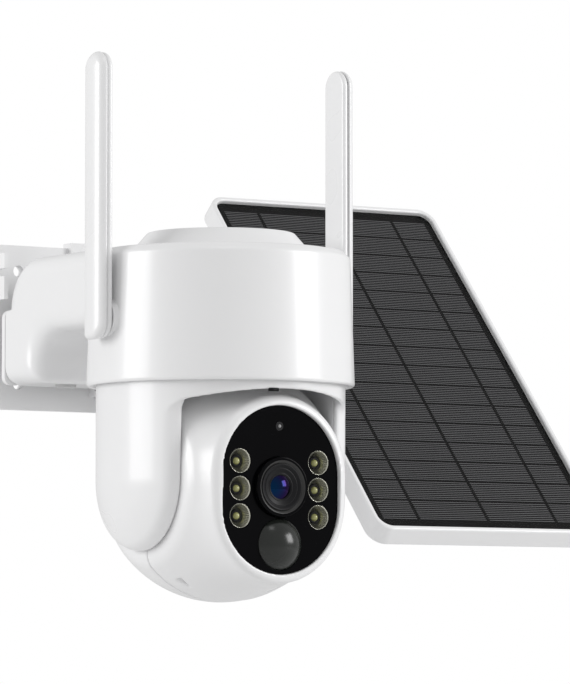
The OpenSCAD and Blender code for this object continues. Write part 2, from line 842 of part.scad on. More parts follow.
module antenna_outer(side) color("white") antenna_frame(side) {
    seam = 2.5;
    edge = 4.2;                      // thickness where the crowned face meets the edge
    rise = antenna_t - edge;
    over = 0.4;                      // how far the crown's arc runs past the blade's edges
    crown_r = (pow(antenna_w / 2 + over, 2) + rise * rise) / (2 * rise);
    tip = antenna_l + blade_low - antenna_w / 2;
    difference() {
        intersection() {
            along_x(antenna_t - seam, seam) blade_outline(0);
            translate([antenna_t - crown_r, 0, -20]) rotate([0, 0, 90])
                cylinder(r = crown_r, h = antenna_l + 30);
            // the face rolls over at the tip
            along_y(antenna_w + 2, -antenna_w / 2 - 1) {
                translate([-crown_r, blade_low - 1]) square([crown_r + antenna_t, tip - blade_low + 1]);
                translate([antenna_t - crown_r, tip]) circle(crown_r);
            }
        }
        along_x(1.4, seam - 0.1) translate([0, 47]) square([10, 84], center = true);
    }
}

module antenna_inner(side) color("white") antenna_frame(side) difference() {
    along_x(2.5) blade_outline(0.3);
    rod_x(bolt_r, 9, -3);
}

module antenna_element(side) color("goldenrod") antenna_frame(side)
    along_x(1, 2.5) translate([0, 47]) square([9.4, 83], center = true);

module antenna_pin(side) color("gray") antenna_frame(side) {
    rod_x(bolt_r, 9, -6.5);
    rod_x(4.2, 1.7, -6.4);
}

module antenna_left_outer() antenna_outer(-1);
module antenna_left_inner() antenna_inner(-1);
module antenna_left_element() antenna_element(-1);
module antenna_left_pin() antenna_pin(-1);
module antenna_right_outer() antenna_outer(1);
module antenna_right_inner() antenna_inner(1);
module antenna_right_element() antenna_element(1);
module antenna_right_pin() antenna_pin(1);

// Solar panel -----------------------------------------------------------

module slab(trim, corner_r, low, thickness) {
    translate([0, 0, low]) linear_extrude(thickness)
        rounded_rect(panel_w - 2 * trim, panel_l - 2 * trim, corner_r);
}

module panel_frame() color("white") panel_frame_at() difference() {
    slab(0, 7, -panel_t, panel_t);
    slab(frame_rim, 5, -pocket, pocket + past);
    slab(6, 3, -panel_t - past, panel_t + 2 * past);
    slab(frame_rim, 5, -panel_t - past, past + 2);
}

module panel_cells() color("black") panel_frame_at() slab(frame_rim + 0.1, 4.9, -pocket, 0.8);

module panel_glass() color("lightblue") panel_frame_at() slab(frame_rim + 0.1, 4.9, 0.8 - pocket, 1.4);

module panel_back() color("white") panel_frame_at() difference() {
    slab(frame_rim + 0.1, 4.9, -panel_t, 2);
    fork_screws_at() cylinder(r = 1.2, h = 3);
}

module junction_box() color("white") panel_frame_at() difference() {
    translate([0, -50, -panel_t - 9]) linear_extrude(9) rounded_rect(38, 30, 4);
    // outlet for the lead to the camera
    translate([-4.5, -66, -panel_t - 6.6]) cube([9, 9, 3.6]);
}

module panel_fork() color("white") panel_frame_at() difference() {
    union() {
        translate([0, 0, -panel_t - 3]) linear_extrude(3) rounded_rect(44, 38, 5);
        for (x = [-lug_w / 2 - slack - ear_t, lug_w / 2 + slack]) along_x(ear_t, x) {
            translate([0, -panel_pivot]) circle(lug_r);
            translate([-lug_r, -panel_pivot]) square([2 * lug_r, panel_pivot - panel_t - 1]);
        }
    }
    translate([0, 0, -panel_pivot]) rod_x(bolt_r, 40, -20);
    fork_screws_at() translate([0, 0, -4]) cylinder(r = 1.6, h = 6);
}

// Middles of the fork's screws, on the panel's back face.
module fork_screws_at() {
    for (x = [-16, 16], y = [-13, 13]) translate([x, y, -panel_t]) children();
}

module panel_screws() color("gray") panel_frame_at() fork_screws_at()
    translate([0, 0, -3]) rotate([180, 0, 0]) screw(1.2, 4.4, 2.4, 1.2);

module pivot_bolt() color("gray") panel_frame_at() translate([0, 0, -panel_pivot]) {
    ear_x = lug_w / 2 + slack + ear_t;
    rod_x(bolt_r, 2 * ear_x + 9, -ear_x - 0.5);
    translate([-ear_x - 3, 0, 0]) rotate([0, 90, 0]) cylinder(r = 5.5, h = 3, $fn = 6);
}

module tilt_knob() color("dimgray") panel_frame_at() translate([0, 0, -panel_pivot]) difference() {
    ear_x = lug_w / 2 + slack + ear_t;
    along_x(10, ear_x + slack) difference() {
        circle(10);
        // finger hollows round the rim
        for (a = [0 : 45 : 315]) rotate(a + 10) translate([11.6, 0]) circle(2.8);
    }
    rod_x(bolt_r + run, 9.4, ear_x);
}

// Draw the chosen node, or all of them ------------------------------------

wall_plate();
base_housing();
base_back();
charge_socket();
base_screws();
head_shell();
top_cap();
head_floor();
battery_cells();
main_board();
pan_motor();
pan_bearing();
head_screws();
panel_arm();
port_cover();
power_button();
reset_button();
pan_pinion();
yoke();
yoke_liners();
pan_hub();
pan_gear();
tilt_pins();
tilt_gear();
yoke_screws();
ball_front();
ball_rear();
bezel();
front_glass();
lens_barrel();
lens_ring();
lens_glass();
sensor_board();
led_board();
led_reflectors();
led_emitters();
pir_lens();
pir_sensor();
light_sensor();
speaker();
tilt_motor();
ball_screws();
tilt_pinion();
antenna_left_outer();
antenna_left_inner();
antenna_left_element();
antenna_left_pin();
antenna_right_outer();
antenna_right_inner();
antenna_right_element();
antenna_right_pin();
panel_frame();
panel_cells();
panel_glass();
panel_back();
junction_box();
panel_fork();
panel_screws();
pivot_bolt();
tilt_knob();
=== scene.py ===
"""Looks of the solar-powered security camera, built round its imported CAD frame.

Sizes are in millimetres until a mesh is made. Smooth mouldings are modelled as distance fields, turned
parts as outlines that go round an axis, and everything else keeps its CAD mesh and gets a material.
"""

import json
import math

import bmesh
import bpy
import numpy as np
import openvdb as vdb
from mathutils import Matrix, Vector


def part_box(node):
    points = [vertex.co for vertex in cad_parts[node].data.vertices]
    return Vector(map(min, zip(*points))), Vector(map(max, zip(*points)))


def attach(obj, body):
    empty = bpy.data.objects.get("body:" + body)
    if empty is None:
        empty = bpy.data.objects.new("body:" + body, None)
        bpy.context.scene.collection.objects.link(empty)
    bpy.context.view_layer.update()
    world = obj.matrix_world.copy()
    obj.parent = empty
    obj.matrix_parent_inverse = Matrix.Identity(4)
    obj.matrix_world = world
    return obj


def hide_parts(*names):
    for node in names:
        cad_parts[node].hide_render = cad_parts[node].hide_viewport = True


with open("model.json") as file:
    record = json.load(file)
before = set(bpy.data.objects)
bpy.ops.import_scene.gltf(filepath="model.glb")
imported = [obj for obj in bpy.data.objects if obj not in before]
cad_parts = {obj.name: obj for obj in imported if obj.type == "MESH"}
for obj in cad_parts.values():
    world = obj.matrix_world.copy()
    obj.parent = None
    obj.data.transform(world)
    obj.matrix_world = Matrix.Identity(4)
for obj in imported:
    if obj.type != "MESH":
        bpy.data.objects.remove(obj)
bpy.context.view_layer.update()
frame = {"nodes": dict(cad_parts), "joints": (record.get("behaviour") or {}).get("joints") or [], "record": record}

MM = 0.001


# Places, in metres in the shared frame ----------------------------------------

def middle(node):
    low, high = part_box(node)
    return (low + high) / 2


def axis_point(joint):
    """Place of a joint's axis."""
    return Vector(next(j for j in frame["joints"] if j["name"] == joint)["pos_m"])


DRUM = axis_point("pan")                      # middle of the drum's lower rim
BALL = axis_point("tilt")                     # middle of the ball
FACE = Vector((BALL.x, BALL.y, middle("front_glass").z))
PIVOT = axis_point("panel_tilt")
PANEL_SLOPE = math.radians(48)
PANEL_PIVOT = 24 * MM                         # hinge behind the panel's front face


def at(place):
    """Frame with its zero at a place and the object's own directions."""
    return Matrix.Translation(place)


# The panel's frame: X across, Y up the slope, Z out of the glass, zero on its front face.
PANEL = at(PIVOT) @ Matrix.Rotation(PANEL_SLOPE, 4, "X") @ at((0, 0, PANEL_PIVOT))


# Camera -----------------------------------------------------------------------

def add_camera():
    azimuth, elevation = math.radians(-33), math.radians(-4)
    distance, lens, sensor = 1.8, 254, 36
    aside, above = 24 * MM, 17 * MM               # what it looks at, from the drum's lower rim
    right = Vector((math.cos(azimuth), math.sin(azimuth), 0))
    target = DRUM + right * aside + Vector((0, 0, above))
    back = Vector((math.sin(azimuth) * math.cos(elevation), -math.cos(azimuth) * math.cos(elevation),
                   math.sin(elevation)))
    data = bpy.data.cameras.new("camera")
    data.lens, data.sensor_width = lens, sensor
    data.clip_start, data.clip_end = 0.05, 50
    camera = bpy.data.objects.new("camera", data)
    bpy.context.scene.collection.objects.link(camera)
    camera.location = target + back * distance
    camera.rotation_euler = (-back).to_track_quat("-Z", "Y").to_euler()
    bpy.context.scene.camera = camera


# Materials --------------------------------------------------------------------

SLOW_NOISE = 28                               # its blotches are about 1 / 28 m across
RELIEF = 0.1 * MM                             # depth of the grain at full bump


def material(name, color, rough=0.4, spread=0.04, grain=1.5, bump=0.02, tint=0.03, **sockets):
    """Moulded or coated surface: fine grain in its bump, and slow changes in gloss and colour.

    The grain is in mm. Spread is how far the roughness strays, and tint how far the colour does.
    """
    made = bpy.data.materials.new(name)
    made.use_nodes = True
    nodes, links = made.node_tree.nodes, made.node_tree.links
    shader = nodes["Principled BSDF"]
    for socket, value in sockets.items():
        shader.inputs[socket.replace("_", " ")].default_value = value
    place = nodes.new("ShaderNodeTexCoord")

    def noise(scale, detail):
        node = nodes.new("ShaderNodeTexNoise")
        node.inputs["Scale"].default_value = scale
        node.inputs["Detail"].default_value = detail
        links.new(place.outputs["Object"], node.inputs["Vector"])
        return node.outputs["Fac"]

    def mapped(value, low, high):
        node = nodes.new("ShaderNodeMapRange")
        node.interpolation_type = "SMOOTHERSTEP"
        node.inputs["From Min"].default_value, node.inputs["From Max"].default_value = 0.2, 0.8
        node.inputs["To Min"].default_value, node.inputs["To Max"].default_value = low, high
        links.new(value, node.inputs["Value"])
        return node.outputs["Result"]

    slow = noise(SLOW_NOISE, 2)
    links.new(mapped(slow, rough - spread, rough + spread), shader.inputs["Roughness"])
    shade = nodes.new("ShaderNodeMix")
    shade.data_type = "RGBA"
    shade.inputs["A"].default_value = (*(c * (1 - tint) for c in color), 1)
    shade.inputs["B"].default_value = (*(min(c * (1 + tint), 1) for c in color), 1)
    links.new(slow, shade.inputs["Factor"])
    links.new(shade.outputs["Result"], shader.inputs["Base Color"])
    relief = nodes.new("ShaderNodeBump")
    relief.inputs["Strength"].default_value = bump
    relief.inputs["Distance"].default_value = RELIEF
    links.new(noise(1 / MM / grain, 4), relief.inputs["Height"])
    links.new(relief.outputs["Normal"], shader.inputs["Normal"])
    return made


def coated_lens(name):
    """Front element: a coating over a dark depth, whose gloss goes from blue through violet to black."""
    made = material(name, (0.01, 0.012, 0.04), rough=0.12, spread=0.02, bump=0, Metallic=1.0)
    nodes, links = made.node_tree.nodes, made.node_tree.links
    shader = nodes["Principled BSDF"]
    rim = nodes.new("ShaderNodeLayerWeight")
    rim.inputs["Blend"].default_value = 0.35
    ramp = nodes.new("ShaderNodeValToRGB")
    steps = ramp.color_ramp.elements
    steps[0].position, steps[0].color = 0.0, (0.003, 0.024, 0.070, 1)
    steps[1].position, steps[1].color = 1.0, (0.003, 0.002, 0.006, 1)
    step = steps.new(0.25)
    step.color = (0.016, 0.005, 0.045, 1)
    links.new(rim.outputs["Facing"], ramp.inputs["Fac"])
    links.new(ramp.outputs["Color"], shader.inputs["Base Color"])
    return made


WHITE = (0.82, 0.82, 0.825)
MATERIALS = {
    "white_gloss": material("white_gloss", WHITE, rough=0.30, spread=0.03, bump=0.03, tint=0.008,
                            Coat_Weight=0.25, Coat_Roughness=0.12),
    "white_matte": material("white_matte", WHITE, rough=0.48, bump=0.12, grain=0.6, tint=0.012),
    "black_gloss": material("black_gloss", (0.002, 0.002, 0.0025), rough=0.10, spread=0.03, bump=0.01,
                            tint=0.2, Specular_IOR_Level=0.06),
    "black_matte": material("black_matte", (0.006, 0.006, 0.007), rough=0.34, bump=0.1, grain=0.4,
                            Specular_IOR_Level=0.18),
    "pir": material("pir", (0.013, 0.015, 0.013), rough=0.26, spread=0.08, bump=0.05, grain=3,
                    tint=0.3, Specular_IOR_Level=0.25, Coat_Weight=0.4, Coat_Roughness=0.2),
    "reflector": material("reflector", (0.58, 0.575, 0.50), rough=0.20, bump=0.05, Metallic=1.0),
    "emitter": material("emitter", (0.34, 0.34, 0.12), rough=0.10, bump=0.05, tint=0.2,
                        Coat_Weight=1.0),
    "lens": coated_lens("lens"),
    "panel_glass": material("panel_glass", (0.02, 0.02, 0.022), rough=0.12, spread=0.03, bump=0.01,
                            Alpha=0.06, Specular_IOR_Level=0.2),
    "cells": material("cells", (0.005, 0.005, 0.006), rough=0.40, bump=0.03, tint=0.15,
                      Specular_IOR_Level=0.12),
    "steel": material("steel", (0.55, 0.56, 0.58), rough=0.32, bump=0.1, grain=0.5, Metallic=1.0),
    "motor": material("motor", (0.60, 0.60, 0.62), rough=0.35, bump=0.08, Metallic=1.0),
    "gear": material("gear", (0.66, 0.63, 0.52), rough=0.42, bump=0.05),
    "pcb": material("pcb", (0.02, 0.13, 0.05), rough=0.38, bump=0.15, grain=0.8, tint=0.15),
    "battery": material("battery", (0.04, 0.10, 0.34), rough=0.3, bump=0.05, tint=0.08),
    "rubber": material("rubber", (0.22, 0.22, 0.23), rough=0.62, bump=0.2, grain=0.5),
    "brass": material("brass", (0.62, 0.42, 0.16), rough=0.3, bump=0.05, Metallic=1.0),
    "speaker": material("speaker", (0.03, 0.03, 0.03), rough=0.7, bump=0.3, grain=0.4),
    "key": material("key", (0.55, 0.55, 0.55), rough=0.5, bump=0.12, grain=0.5),
    "cell_line": material("cell_line", (0.17, 0.17, 0.175), rough=0.35, bump=0.05, tint=0.1),
    # painted shade: dark stripes standing in for the shading of the cups' facets
    "rib_shade_paint": material("rib_shade_paint", (0.07, 0.07, 0.055), rough=0.35, bump=0.05),
    # painted reflection: a grey that stands in for the light the lens bevel reflects
    "lens_painted_reflection": material("lens_painted_reflection", (0.014, 0.0137, 0.013), rough=0.36, spread=0.05, bump=0.05,
                          tint=0.1),
    "border": material("border", (0.004, 0.004, 0.004), rough=0.4, bump=0.05, tint=0.1,
                       Specular_IOR_Level=0.1),
    "white_dot": material("white_dot", (0.30, 0.30, 0.30), rough=0.4, bump=0.05),
}

SLOTS = {part["node"]: part["material_slot"] for part in frame["record"]["subparts"]}
for node, obj in frame["nodes"].items():
    obj.data.materials.clear()
    obj.data.materials.append(MATERIALS[SLOTS[node]])


# Making pieces ----------------------------------------------------------------

def piece(name, points, faces, place, body, nodes=(), slot="white_gloss", look=None):
    """A mesh from points in mm in the frame `place`, riding on a body and standing for CAD nodes.

    A look is given where its material isn't the slot's own.
    """
    mesh = bpy.data.meshes.new(name)
    mesh.from_pydata([place @ (Vector(p) * MM) for p in points], [], [list(f) for f in faces])
    mesh.polygons.foreach_set("use_smooth", [True] * len(mesh.polygons))
    mesh.materials.append(MATERIALS[look or slot])
    obj = bpy.data.objects.new(name, mesh)
    bpy.context.scene.collection.objects.link(obj)
    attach(obj, body)
    if nodes:
        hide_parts(*nodes)
    return obj


def soften(outline, radius):
    """Rounds the corners of an open outline: each corner becomes a small curve."""
    steps = 5
    reach_of_side = 0.45                      # so two curves on one side never meet
    points = [Vector(p) for p in outline]
    out = [points[0]]
    for before, corner, after in zip(points, points[1:], points[2:]):
        shorter = min((corner - before).length, (after - corner).length)
        reach = min(radius, shorter * reach_of_side)
        start = corner + (before - corner).normalized() * reach
        end = corner + (after - corner).normalized() * reach
        # a point just before and after the curve keeps the flats shaded flat
        out.append(start + (start - corner) * 0.1)
        for i in range(steps + 1):
            t = i / steps
            out.append(start * (1 - t) ** 2 + corner * 2 * t * (1 - t) + end * t ** 2)
        out.append(end + (end - corner) * 0.1)
    out.append(points[-1])
    return out


def turned(name, outline, place, body, sides=96, ribs=0, rib_depth=0.0, **rest):
    """An outline of (radius, height) in mm taken round the local Z axis, with ribs down it if asked."""
    points, faces = [], []
    for i in range(sides):
        angle = 2 * math.pi * i / sides
        cut = 1 - rib_depth * (0.5 - 0.5 * math.cos(ribs * angle)) if ribs else 1
        points += [(r * cut * math.cos(angle), r * cut * math.sin(angle), z) for r, z in outline]
    n = len(outline)
    for i in range(sides):
        a, b = i * n, (i + 1) % sides * n
        faces += [(a + k, b + k, b + k + 1, a + k + 1) for k in range(n - 1)]
    obj = piece(name, points, faces, place, body, **rest)
    tidy_mesh(obj)
    return obj


def tidy_mesh(obj):
    """Joins points that meet, drops faces with no area, and turns every face outwards."""
    touching, no_length = 0.002 * MM, 0.001 * MM
    mesh = bmesh.new()
    mesh.from_mesh(obj.data)
    bmesh.ops.remove_doubles(mesh, verts=mesh.verts, dist=touching)
    bmesh.ops.dissolve_degenerate(mesh, edges=mesh.edges, dist=no_length)
    bmesh.ops.recalc_face_normals(mesh, faces=mesh.faces)
    mesh.to_mesh(obj.data)
    mesh.free()


def moulded(name, field, low, high, step, place, body, mirror=False, **rest):
    """A moulding from its distance field in mm, negative inside, on a grid `step` mm apart."""
    # the grid is set off from the flat faces, so that none of them falls on a row of its points
    before, after, band = 2.37, 2.5, 3        # in steps
    axes = [np.arange(a - before * step, b + after * step, step) for a, b in zip(low, high)]
    x, y, z = np.meshgrid(*axes, indexing="ij", sparse=True)
    distance = np.broadcast_to(field(x, y, z) / step, tuple(len(a) for a in axes))
    grid = vdb.FloatGrid()
    grid.background = band
    grid.copyFromArray(np.ascontiguousarray(np.clip(distance, -band, band), dtype=np.float32))
    points, quads = grid.convertToQuads(0.0)
    points = points * step + np.array([a[0] for a in axes])
    if mirror:
        points[:, 0] *= -1
    # faces that look inwards are turned round
    corners = points[quads]
    centre = corners.mean(axis=1)
    normal = np.cross(corners[:, 2] - corners[:, 0], corners[:, 3] - corners[:, 1])
    if (centre * normal).sum() < 0:
        quads = quads[:, ::-1]
    return piece(name, points.tolist(), quads.tolist(), place, body, **rest)


def box_mesh(low, high):
    """Corners and faces of a box."""
    x, y, z = zip(low, high)
    points = [(a, b, c) for a in x for b in y for c in z]
    faces = [(0, 1, 3, 2), (4, 6, 7, 5), (0, 4, 5, 1), (2, 3, 7, 6), (0, 2, 6, 4), (1, 5, 7, 3)]
    return points, faces


# Distance fields --------------------------------------------------------------

def soft_max(a, b, k):
    """Common part of two solids with its edge rounded over about k."""
    h = np.maximum(k - np.abs(a - b), 0) / k
    return np.maximum(a, b) + h * h * k / 4


def soft_min(a, b, k):
    """Union of two solids with a fillet of about k."""
    return -soft_max(-a, -b, k)


def stadium(x, z, width, height):
    """Upright rectangle with half-round ends."""
    return np.sqrt(x * x + np.maximum(np.abs(z) - (height - width) / 2, 0) ** 2) - width / 2


def common(*parts):
    """Common part of several solids, with sharp edges."""
    out = parts[0]
    for part in parts[1:]:
        out = np.maximum(out, part)
    return out


def ball_of(radius, x, y, z):
    """Round ball about the zero; with a clipped z, a round-ended rod."""
    return np.sqrt(x * x + y * y + z * z) - radius


# Drum: radii, and heights over its lower rim ----------------------------------

RIM_RADIUS, SHOULDER_RADIUS = 50, 48.4
SHOULDER, ROOF = 48, 50.5                     # the shoulder slopes from the one to the other
CAP_TOP = 57.5


def add_drum():
    wall = soften([(47.6, 0.3), (49.4, 0), (RIM_RADIUS, 0.8), (SHOULDER_RADIUS, SHOULDER),
                   (45.9, ROOF), (28, ROOF), (28, SHOULDER), (46, SHOULDER), (47.6, 0.3)], 0.9)
    turned("drum", wall, at(DRUM), "mount", sides=160, nodes=["head_shell"])
    cap = soften([(25, 48.3), (27.7, 48.3), (27.7, ROOF), (33, ROOF), (33, 51.2), (27.5, CAP_TOP),
                  (0.01, CAP_TOP), (0.01, 55.1), (25, 55.1), (25, 48.3)], 0.7)
    turned("cap", cap, at(DRUM), "mount", sides=128, nodes=["top_cap"])
    # here the heights are from the drum's axis out to the side
    boss = soften([(9.5, 46.8), (7.6, 48.6), (6.6, 49.8), (6.6, 50.4), (3.1, 50.4), (3.1, 46.6)], 1.0)
    for side, turn in (("right", 90), ("left", -90)):
        centre = Vector((DRUM.x, DRUM.y, axis_point(f"antenna_{side}_turn").z))
        aim = Matrix.Rotation(math.radians(turn), 4, "Y")
        turned(f"boss_{side}", boss, at(centre) @ aim, "mount", sides=64)


# Base and arm: x across, y back from the drum's axis, z over its lower rim ----

BASE_HALF = 35                                # half its width
BASE_FRONT, BASE_BACK = 79, 101               # the upright block
BASE_FLOOR, ARM_UNDER, ARM_TOP = 5, 24, 53.5
TOP_ROUND, UNDER_FILLET = 20, 14


def base_field(x, y, z):
    # elbow outline: rounded over the top at the back, filleted under the arm
    bend = ARM_TOP - TOP_ROUND
    round_over = np.hypot(np.maximum(y - 81, 0), np.maximum(z - bend, 0)) - TOP_ROUND
    outer = np.where(z > bend, np.maximum(round_over, z - ARM_TOP), y - 120)
    inner = soft_min(BASE_FRONT - y, ARM_UNDER - z, UNDER_FILLET)
    outline = soft_max(common(outer, inner), BASE_FLOOR - z, 2.5)
    body = soft_max(outline, np.abs(x) - BASE_HALF, 8)
    # the arm ends on the drum's wall and shoulder, 0.05 mm clear of them
    shoulder = SHOULDER_RADIUS - np.clip(z - SHOULDER, 0, ROOF - SHOULDER)
    drum = np.sqrt(x * x + y * y) - np.where(z < SHOULDER, RIM_RADIUS - z / 30, shoulder)
    clear, wall = 0.05, 2.4
    hollow = np.maximum(body, -drum) + wall
    # openings underneath: the charging socket and the two buttons
    socket = common(np.abs(x - 14) - 4.8, np.abs(y - 90) - 2)
    keys = np.minimum(np.hypot(x + 14, y - 90) - 4.2, np.hypot(x + 3, y - 90) - 1.8)
    under = np.maximum(np.minimum(socket, keys), z - 12)
    return common(body, -hollow, clear - drum, y - BASE_BACK + clear, -under)


def add_base():
    moulded("base", base_field, (-BASE_HALF, 30, BASE_FLOOR), (BASE_HALF, BASE_BACK, ARM_TOP), 0.65,
            at(DRUM), "mount", nodes=["base_housing"])


# Yoke: x across, y back, z over the drum's lower rim --------------------------

YOKE_RADIUS = 46.5
ARM_HALF, ARM_INSIDE = 26.5, 33.6             # half the width of an arm, and its flat inner face
TILT_DROP = 35                                # the arms end in half rounds about the tilt axis
YOKE_TOP = 14


def yoke_field(x, y, z):
    below = z + TILT_DROP
    round_out = ball_of(YOKE_RADIUS, x, y, np.minimum(below, 0))
    # the arms are 1 mm wider on each side at the top than at the tilt axis
    width = np.where(below > 0, np.abs(y) - ARM_HALF - np.clip(below / 28, 0, 1),
                     np.sqrt(y * y + below * below) - ARM_HALF)
    arms = soft_max(soft_max(round_out, width, 3.4), ARM_INSIDE - np.abs(x), 1.0)
    radius = np.sqrt(x * x + y * y)
    # the skirt's lower edge is a shallow arch, highest in the middle
    arch_radius = 150
    arch = -2.8 - arch_radius + np.sqrt(arch_radius ** 2 - x * x)
    skirt = soft_max(np.abs(radius - 45.7) - 0.8, arch - z, 0.8)
    roof = common(radius - YOKE_RADIUS, 11.5 - z, 10 - radius)
    body = np.maximum(np.minimum(soft_min(arms, skirt, 4), roof), round_out)
    wall, side_wall = 2.2, 2
    hollow = common(round_out + wall, width + side_wall, z - 9.5)
    return common(body, -hollow, z - YOKE_TOP)


def add_yoke():
    moulded("yoke_shell", yoke_field, (-YOKE_RADIUS, -YOKE_RADIUS, -TILT_DROP - ARM_HALF),
            (YOKE_RADIUS, YOKE_RADIUS, YOKE_TOP), 0.62, at(DRUM), "yoke", nodes=["yoke"])
    # painted shade: a black box for the dark slot under the front of the skirt
    slot_shade_box = box_mesh((-8, -46.2, -3.9), (-4, -45.2, -2.7))
    piece("painted_slot_shade", *slot_shade_box, at(DRUM), "yoke", slot="black_matte")


# Ball: x across, y back, z up, from its middle --------------------------------

BALL_RADIUS, BALL_HALF = 45, 33               # a ball with flat sides
BALL_WALL = 2.4
SPLIT = 1.5                                   # the halves meet this far in front of the middle
PIN_RADIUS = 5.05
NECK_FRONT = 41.5                             # front edge of the face's rim
DROP = (BALL.z - FACE.z) / MM                 # the face sits this far below the ball's middle


def ball_field(x, y, z):
    return soft_max(ball_of(BALL_RADIUS, x, y, z), np.abs(x) - BALL_HALF, 2.5)


def ball_front_field(x, y, z):
    rim = stadium(x, z + DROP, 57, 68.5)
    neck_back = y + 14
    neck = np.maximum(soft_max(rim, -NECK_FRONT - y, 3.4), neck_back)
    body = soft_min(ball_field(x, y, z), neck, 9)
    # pocket for the front glass, then the room behind it
    pocket = np.maximum(stadium(x, z + DROP, 50.9, 61.9), y + 39.1)
    inside = np.minimum(np.maximum(ball_of(BALL_RADIUS - BALL_WALL, x, y, z),
                                   np.abs(x) - BALL_HALF + BALL_WALL),
                        common(rim + 4.6, -40 - y, neck_back))
    pins = np.sqrt(y * y + z * z) - PIN_RADIUS
    # drain notch: a wedge that narrows towards the middle
    long, half = 5.5, 1.6
    u = x + 24
    notch = common(np.abs(y + 9.5) - half * (1 - u / long), -u, u - long, z + 36.4)
    return common(body, -soft_min(pocket, inside, 0.3), y + SPLIT + 0.1, -pins, -notch)


def ball_rear_field(x, y, z):
    shell = np.maximum(ball_field(x, y, z), -ball_of(BALL_RADIUS - BALL_WALL, x, y, z))
    walls = common(ball_field(x, y, z), BALL_HALF - BALL_WALL - np.abs(x))
    pins = np.sqrt(y * y + z * z) - PIN_RADIUS
    screws = np.hypot(np.abs(x) - 20, np.abs(z) - 27) - 2.6
    # speaker grille: one hole with a ring of six round it
    hole, ring, low = 0.9, 4, 14
    grille = np.hypot(x, z + low) - hole
    for i in range(6):
        angle = math.radians(60 * i)
        to_hole = np.hypot(x - ring * math.cos(angle), z + low - ring * math.sin(angle))
        grille = np.minimum(grille, to_hole - hole)
    return common(np.minimum(shell, walls), -SPLIT + 0.1 - y, -pins, -np.maximum(screws, 21 - y),
                  -np.maximum(grille, 30 - y))


def add_ball():
    side, up = BALL_HALF, BALL_RADIUS
    moulded("face_housing", ball_front_field, (-side, -NECK_FRONT, -up), (side, -SPLIT, up), 0.55,
            at(BALL), "ball", nodes=["ball_front", "bezel"])
    moulded("rear_housing", ball_rear_field, (-side, -SPLIT, -up), (side, up, up), 0.7,
            at(BALL), "ball", nodes=["ball_rear"])


# Face: places from its middle, heights forward of the ball's middle ----------

FORWARD = Matrix.Rotation(math.radians(90), 4, "X")      # local Z comes out of the face
LAMPS = [(x, z) for x in (-17, 17) for z in (-9.7, 0.3, 10.3)]
LENS_UP, SENSOR_UP, DOT_UP = 1.0, -19.9, 23.3


def on_face(x, z):
    return at(FACE + Vector((x, 0, z)) * MM) @ FORWARD


def add_lamps():
    cup = soften([(1.95, 36.9), (2.4, 37.1), (4.15, 40.1), (4.4, 40.4), (4.55, 40.1), (4.55, 36.9)], 0.2)
    radius, start = 1.35, 37.5
    dome = [(radius, 36.6), (radius, start)]
    dome += [(radius * math.cos(a), start + radius * math.sin(a))
             for a in np.linspace(0.1, math.pi / 2 - 0.01, 9)]
    collar = soften([(1.4, 36.6), (1.4, 37.7), (1.9, 37.7), (2.5, 37.1), (2.5, 36.8)], 0.2)
    for i, (x, z) in enumerate(LAMPS):
        turned(f"lamp_cup_{i}", cup, on_face(x, z), "ball", sides=192, ribs=32, rib_depth=0.012,
               nodes=["led_reflectors"], slot="reflector")
        turned(f"lamp_{i}", dome, on_face(x, z), "ball", sides=32, nodes=["led_emitters"],
               slot="emitter")
        turned(f"lamp_collar_{i}", collar, on_face(x, z), "ball", sides=48, slot="black_matte")
    add_painted_rib_shade()


def add_painted_rib_shade():
    """Dark stripes up the side of each cup: painted shade for the reflector's facets."""
    ribs, share = 36, 0.45                    # a painted dark stripe takes this share of its turn
    foot, top = (2.42, 37.2), (4.05, 40.0)    # radius and height
    points, faces = [], []
    for x, z in LAMPS:
        for i in range(ribs):
            start = len(points)
            for turn, (radius, height) in ((0, foot), (share, foot), (share, top), (0, top)):
                angle = 2 * math.pi * (i + turn) / ribs
                points.append((x + radius * math.cos(angle), z + radius * math.sin(angle), height))
            faces.append((start, start + 1, start + 2, start + 3))
    # painted shade: flat dark strips on the cups, not their own colour
    piece("painted_rib_shade", points, faces, on_face(0, 0), "ball", slot="reflector", look="rib_shade_paint")


def add_lens():
    place = on_face(0, LENS_UP)
    ring = soften([(11.1, 38), (11.1, 42.2), (10.8, 42.75), (9.6, 42.75), (9.3, 42.3), (9.0, 42.1),
                   (8.0, 41.0), (8.0, 38)], 0.3)
    turned("lens_rim", ring, place, "ball", sides=128, nodes=["lens_ring"], slot="black_gloss")
    # painted reflection: the bevel is coloured grey all round in place of what it reflects
    bevel = [(9.75, 42.8), (9.5, 42.75), (8.9, 42.1), (8.3, 41.7)]
    turned("lens_bevel", bevel, place, "ball", sides=96, slot="black_matte", look="lens_painted_reflection")
    # stepped hood that narrows to the glass
    hood = soften([(8.6, 40.4), (8.6, 42.2), (8.1, 42.2), (7.0, 41.6), (6.8, 41.8), (5.2, 41.2),
                   (5.0, 41.4), (4.3, 41.1), (4.2, 40)], 0.15)
    turned("lens_hood", hood, place, "ball", sides=96, slot="black_matte")
    curve, front = 7.5, 42.4
    glass = [(curve * math.sin(a), front + curve * (math.cos(a) - 1))
             for a in np.linspace(0.002, 0.62, 14)]
    turned("lens_front", glass, place, "ball", sides=64, nodes=["lens_glass"], slot="lens")


